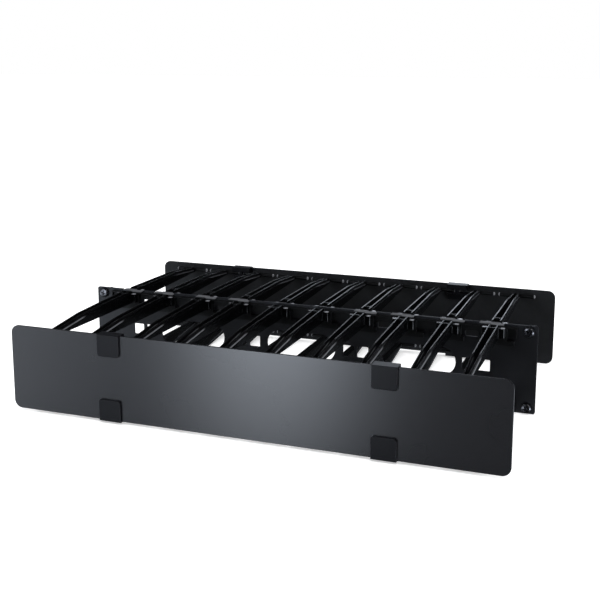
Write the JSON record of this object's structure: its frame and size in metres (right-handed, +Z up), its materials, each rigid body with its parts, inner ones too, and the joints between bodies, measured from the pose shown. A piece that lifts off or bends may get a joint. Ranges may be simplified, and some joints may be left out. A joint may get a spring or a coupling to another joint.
{
  "type": "horizontal cable manager",
  "caption": "Rack-mounted horizontal cable manager with rows of fingers front and rear, a panel with cable pass-throughs and two hinged clip-on covers.",
  "frame": {"origin": "centre of the rack panel, in the middle of its sheet", "axes": "+X along the panel to the right as seen from the front, +Y from the front to the rear, +Z up"},
  "size_m": [0.4826, 0.3248, 0.0884],
  "materials": {
    "panel_paint": "black satin powder coat",
    "finger_plastic": "glossy black moulded plastic",
    "cover_paint": "charcoal satin paint",
    "clip_plastic": "matte black moulded plastic",
    "screw_steel": "black oxide steel"
  },
  "bodies": {
    "frame": {"rack_panel": "panel_paint", "finger_comb_front_upper": "finger_plastic", "finger_comb_front_lower": "finger_plastic", "finger_comb_rear_upper": "finger_plastic", "finger_comb_rear_lower": "finger_plastic", "mounting_screw_upper_left": "screw_steel", "mounting_screw_upper_right": "screw_steel", "mounting_screw_lower_left": "screw_steel", "mounting_screw_lower_right": "screw_steel"},
    "front_cover": {"front_cover": "cover_paint", "clip_front_upper_left": "clip_plastic", "clip_front_upper_right": "clip_plastic", "clip_front_lower_left": "clip_plastic", "clip_front_lower_right": "clip_plastic"},
    "rear_cover": {"rear_cover": "cover_paint", "clip_rear_upper_left": "clip_plastic", "clip_rear_upper_right": "clip_plastic", "clip_rear_lower_left": "clip_plastic", "clip_rear_lower_right": "clip_plastic"}
  },
  "joints": [
    {"name": "front_cover_hinge", "type": "hinge", "parent": "frame", "child": "front_cover", "pos_m": [0, -0.154, 0.0348], "axis": [-1, 0, 0], "range_deg": [0, 90]},
    {"name": "rear_cover_hinge", "type": "hinge", "parent": "frame", "child": "rear_cover", "pos_m": [0, 0.154, 0.0348], "axis": [1, 0, 0], "range_deg": [0, 90]}
  ]
}
